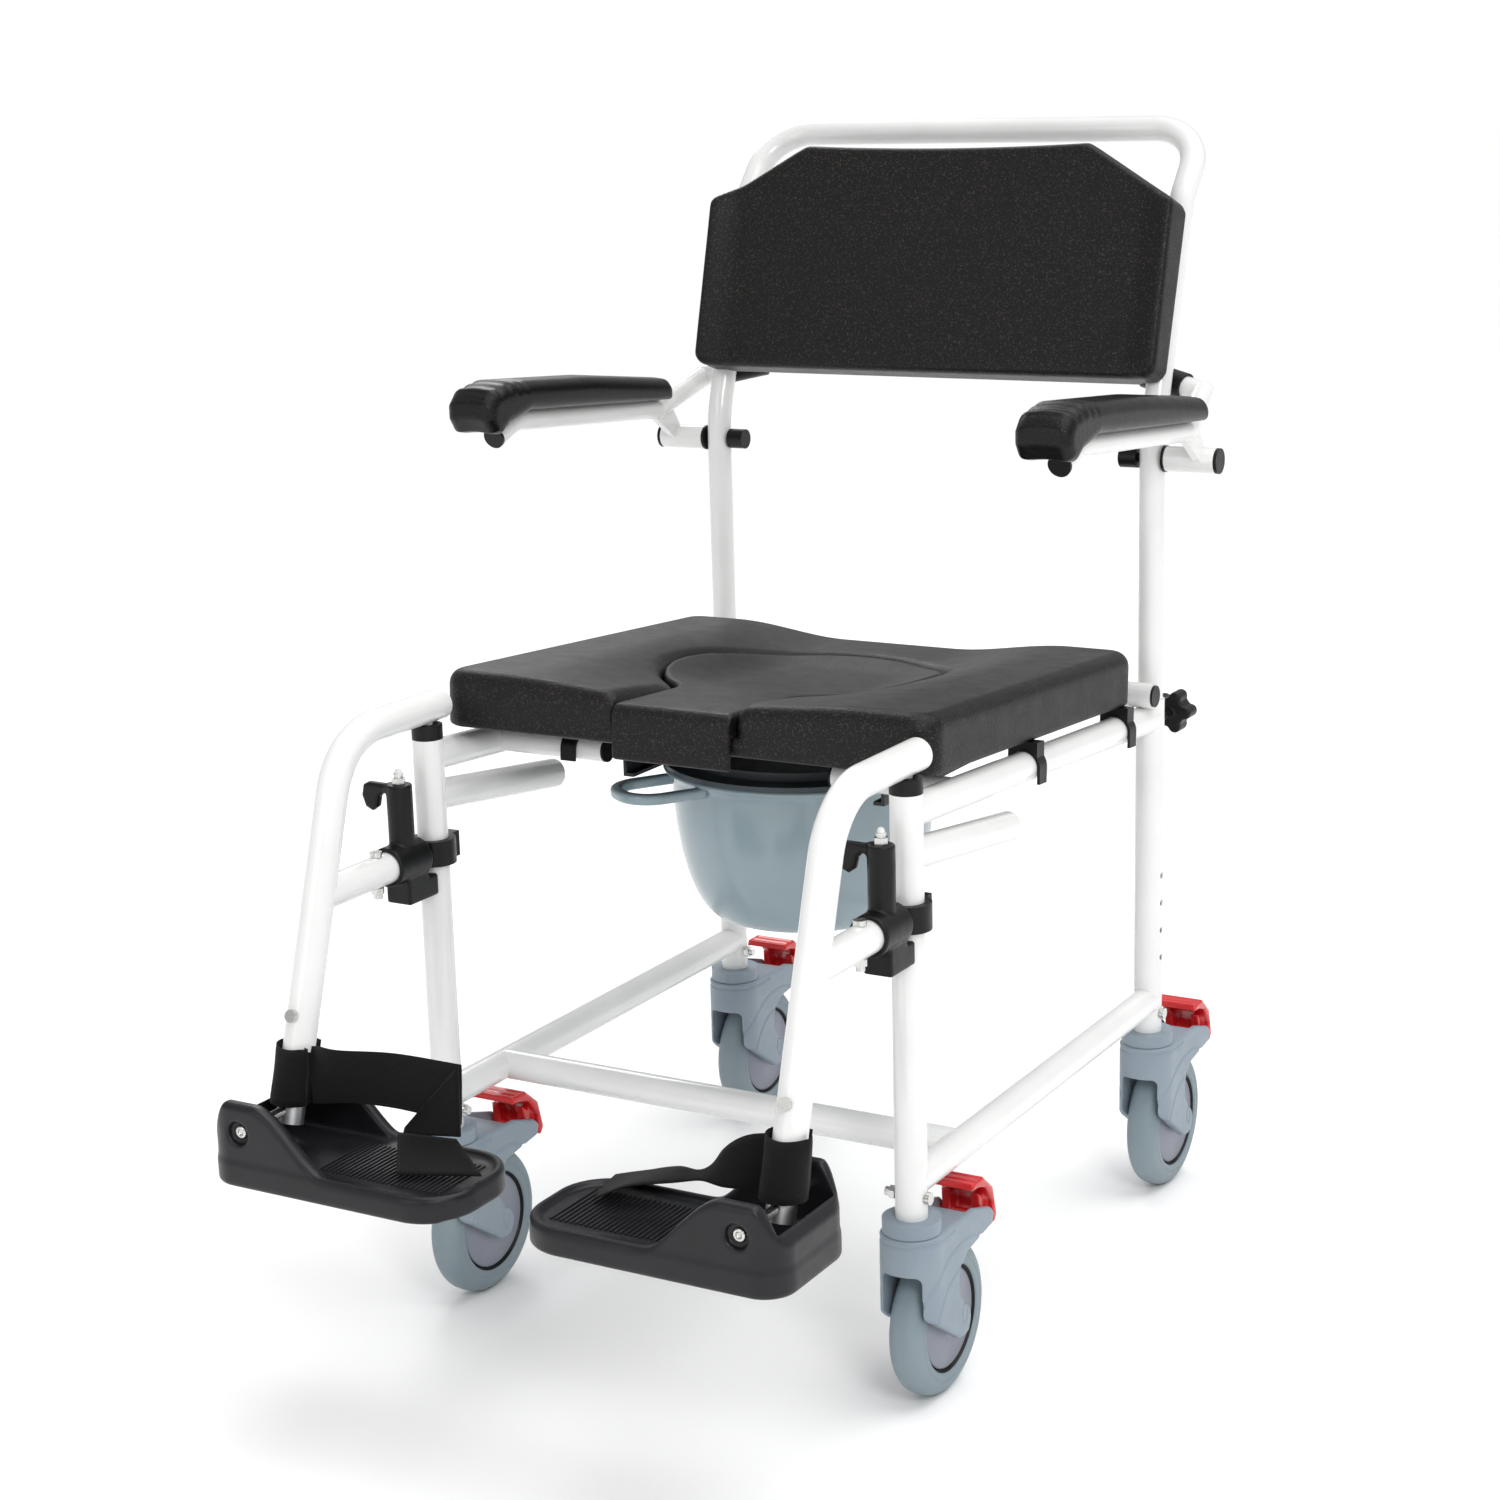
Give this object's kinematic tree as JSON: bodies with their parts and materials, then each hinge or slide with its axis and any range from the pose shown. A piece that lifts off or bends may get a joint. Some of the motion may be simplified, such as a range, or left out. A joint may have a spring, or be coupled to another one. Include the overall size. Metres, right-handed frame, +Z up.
{
  "type": "commode chair",
  "caption": "Wheeled commode chair with swing-up arms, swing-away footrests, lift-off seat insert and a sliding pan with a lid.",
  "frame": {"origin": "centre of the footprint on the floor", "axes": "+Z up, the chair's front faces -Y, +X to the right seen from the front"},
  "size_m": [0.572, 0.8634, 0.967],
  "materials": {
    "white_tube": "glossy powder coat",
    "upholstery": "self-skinned foam with a fine leather grain",
    "arm_foam": "satin self-skinned foam",
    "black_plastic": "matt moulded plastic",
    "steel": "bright stainless steel with white plastic nut caps",
    "runner_plastic": "matt moulded plastic",
    "pan_plastic": "glossy moulded plastic",
    "lid_plastic": "satin moulded plastic",
    "slide_tube": "satin anodised",
    "plate_plastic": "textured moulded plastic",
    "webbing": "woven webbing",
    "caster_plastic": "satin moulded plastic",
    "wheel_plastic": "satin moulded plastic with a soft tread",
    "pedal_red": "glossy moulded plastic"
  },
  "bodies": {
    "frame": {"front_leg_left": "white_tube", "front_leg_right": "white_tube", "rear_leg_left": "white_tube", "rear_leg_right": "white_tube", "lower_rails": "white_tube", "upper_rails": "white_tube", "cross_bar": "white_tube", "side_stubs": "white_tube", "seat_stubs": "white_tube", "seat_back_bar": "white_tube", "back_canes": "white_tube", "push_bar": "white_tube", "backrest": "upholstery", "leg_collars": "black_plastic", "tube_caps": "black_plastic", "caster_stems": "steel", "stem_bolts": "steel", "arm_pivot_bolts": "black_plastic"},
    "seat": {"seat": "upholstery", "seat_clips": "black_plastic", "bucket_runners": "runner_plastic"},
    "insert": {"seat_insert": "upholstery"},
    "pan": {"bucket": "pan_plastic"},
    "lid": {"bucket_lid": "lid_plastic"},
    "star_knob_left": {"star_knob_left": "black_plastic"},
    "arm_left": {"arm_tube_left": "white_tube", "arm_pad_left": "arm_foam", "arm_trim_left": "black_plastic"},
    "hanger_left": {"hanger_tube_left": "white_tube", "latch_block_left": "black_plastic", "hanger_bolts_left": "steel"},
    "lever_left": {"release_lever_left": "black_plastic"},
    "extension_left": {"extension_tube_left": "slide_tube", "footplate_bolt_left": "steel", "heel_strap_left": "webbing"},
    "footplate_left": {"footplate_left": "plate_plastic"},
    "star_knob_right": {"star_knob_right": "black_plastic"},
    "arm_right": {"arm_tube_right": "white_tube", "arm_pad_right": "arm_foam", "arm_trim_right": "black_plastic"},
    "hanger_right": {"hanger_tube_right": "white_tube", "latch_block_right": "black_plastic", "hanger_bolts_right": "steel"},
    "lever_right": {"release_lever_right": "black_plastic"},
    "extension_right": {"extension_tube_right": "slide_tube", "footplate_bolt_right": "steel", "heel_strap_right": "webbing"},
    "footplate_right": {"footplate_right": "plate_plastic"},
    "swivel_fl": {"caster_fork_fl": "caster_plastic"},
    "wheel_fl": {"wheel_fl": "wheel_plastic"},
    "pedal_fl": {"brake_pedal_fl": "pedal_red"},
    "swivel_fr": {"caster_fork_fr": "caster_plastic"},
    "wheel_fr": {"wheel_fr": "wheel_plastic"},
    "pedal_fr": {"brake_pedal_fr": "pedal_red"},
    "swivel_rl": {"caster_fork_rl": "caster_plastic"},
    "wheel_rl": {"wheel_rl": "wheel_plastic"},
    "pedal_rl": {"brake_pedal_rl": "pedal_red"},
    "swivel_rr": {"caster_fork_rr": "caster_plastic"},
    "wheel_rr": {"wheel_rr": "wheel_plastic"},
    "pedal_rr": {"brake_pedal_rr": "pedal_red"}
  },
  "joints": [
    {"name": "seat_lift", "type": "slide", "parent": "frame", "child": "seat", "axis": [0, 0.061, 0.9981], "range_m": [0, 0.02]},
    {"name": "insert_lift", "type": "slide", "parent": "seat", "child": "insert", "axis": [0, 0.061, 0.9981], "range_m": [0, 0.08]},
    {"name": "pan_slide", "type": "slide", "parent": "seat", "child": "pan", "axis": [0, -1, 0], "range_m": [0, 0.3]},
    {"name": "lid_lift", "type": "slide", "parent": "pan", "child": "lid", "axis": [0, 0, 1], "range_m": [0, 0.015]},
    {"name": "star_knob_turn_left", "type": "hinge", "parent": "frame", "child": "star_knob_left", "pos_m": [-0.217, 0.3627, 0.446], "axis": [0, 1, 0], "continuous": true},
    {"name": "arm_swing_left", "type": "hinge", "parent": "frame", "child": "arm_left", "pos_m": [-0.262, 0.3067, 0.681], "axis": [-1, 0, 0], "range_deg": [0, 100]},
    {"name": "hanger_swing_left", "type": "hinge", "parent": "frame", "child": "hanger_left", "pos_m": [-0.217, -0.1693, 0.46], "axis": [0, 0, -1], "range_deg": [0, 90]},
    {"name": "lever_turn_left", "type": "hinge", "parent": "hanger_left", "child": "lever_left", "pos_m": [-0.217, -0.2103, 0.462], "axis": [0, 0, 1], "range_deg": [0, 35], "stiffness_Nm_per_rad": 0.2},
    {"name": "extension_slide_left", "type": "slide", "parent": "hanger_left", "child": "extension_left", "axis": [0, -0.3007, -0.9537], "range_m": [0, 0.06]},
    {"name": "footplate_fold_left", "type": "hinge", "parent": "extension_left", "child": "footplate_left", "pos_m": [-0.217, -0.3677, 0.246], "axis": [0, -1, 0], "range_deg": [0, 90], "deforming": ["heel_strap_left"]},
    {"name": "star_knob_turn_right", "type": "hinge", "parent": "frame", "child": "star_knob_right", "pos_m": [0.217, 0.3627, 0.446], "axis": [0, 1, 0], "continuous": true},
    {"name": "arm_swing_right", "type": "hinge", "parent": "frame", "child": "arm_right", "pos_m": [0.262, 0.3067, 0.681], "axis": [-1, 0, 0], "range_deg": [0, 100]},
    {"name": "hanger_swing_right", "type": "hinge", "parent": "frame", "child": "hanger_right", "pos_m": [0.217, -0.1693, 0.46], "axis": [0, 0, 1], "range_deg": [0, 90]},
    {"name": "lever_turn_right", "type": "hinge", "parent": "hanger_right", "child": "lever_right", "pos_m": [0.217, -0.2103, 0.462], "axis": [0, 0, 1], "range_deg": [0, 35], "stiffness_Nm_per_rad": 0.2},
    {"name": "extension_slide_right", "type": "slide", "parent": "hanger_right", "child": "extension_right", "axis": [0, -0.3007, -0.9537], "range_m": [0, 0.06]},
    {"name": "footplate_fold_right", "type": "hinge", "parent": "extension_right", "child": "footplate_right", "pos_m": [0.217, -0.3677, 0.246], "axis": [0, 1, 0], "range_deg": [0, 90], "deforming": ["heel_strap_right"]},
    {"name": "caster_swivel_fl", "type": "hinge", "parent": "frame", "child": "swivel_fl", "pos_m": [-0.217, -0.1693, 0.14], "axis": [0, 0, 1], "continuous": true},
    {"name": "wheel_spin_fl", "type": "hinge", "parent": "swivel_fl", "child": "wheel_fl", "pos_m": [-0.217, -0.1293, 0.0625], "axis": [1, 0, 0], "continuous": true},
    {"name": "pedal_press_fl", "type": "hinge", "parent": "swivel_fl", "child": "pedal_fl", "pos_m": [-0.217, -0.0793, 0.131], "axis": [-1, 0, 0], "range_deg": [0, 8]},
    {"name": "caster_swivel_fr", "type": "hinge", "parent": "frame", "child": "swivel_fr", "pos_m": [0.217, -0.1693, 0.14], "axis": [0, 0, 1], "continuous": true},
    {"name": "wheel_spin_fr", "type": "hinge", "parent": "swivel_fr", "child": "wheel_fr", "pos_m": [0.217, -0.1293, 0.0625], "axis": [1, 0, 0], "continuous": true},
    {"name": "pedal_press_fr", "type": "hinge", "parent": "swivel_fr", "child": "pedal_fr", "pos_m": [0.217, -0.0793, 0.131], "axis": [-1, 0, 0], "range_deg": [0, 8]},
    {"name": "caster_swivel_rl", "type": "hinge", "parent": "frame", "child": "swivel_rl", "pos_m": [-0.217, 0.3067, 0.14], "axis": [0, 0, 1], "continuous": true},
    {"name": "wheel_spin_rl", "type": "hinge", "parent": "swivel_rl", "child": "wheel_rl", "pos_m": [-0.217, 0.3467, 0.0625], "axis": [1, 0, 0], "continuous": true},
    {"name": "pedal_press_rl", "type": "hinge", "parent": "swivel_rl", "child": "pedal_rl", "pos_m": [-0.217, 0.3967, 0.131], "axis": [-1, 0, 0], "range_deg": [0, 8]},
    {"name": "caster_swivel_rr", "type": "hinge", "parent": "frame", "child": "swivel_rr", "pos_m": [0.217, 0.3067, 0.14], "axis": [0, 0, 1], "continuous": true},
    {"name": "wheel_spin_rr", "type": "hinge", "parent": "swivel_rr", "child": "wheel_rr", "pos_m": [0.217, 0.3467, 0.0625], "axis": [1, 0, 0], "continuous": true},
    {"name": "pedal_press_rr", "type": "hinge", "parent": "swivel_rr", "child": "pedal_rr", "pos_m": [0.217, 0.3967, 0.131], "axis": [-1, 0, 0], "range_deg": [0, 8]}
  ]
}
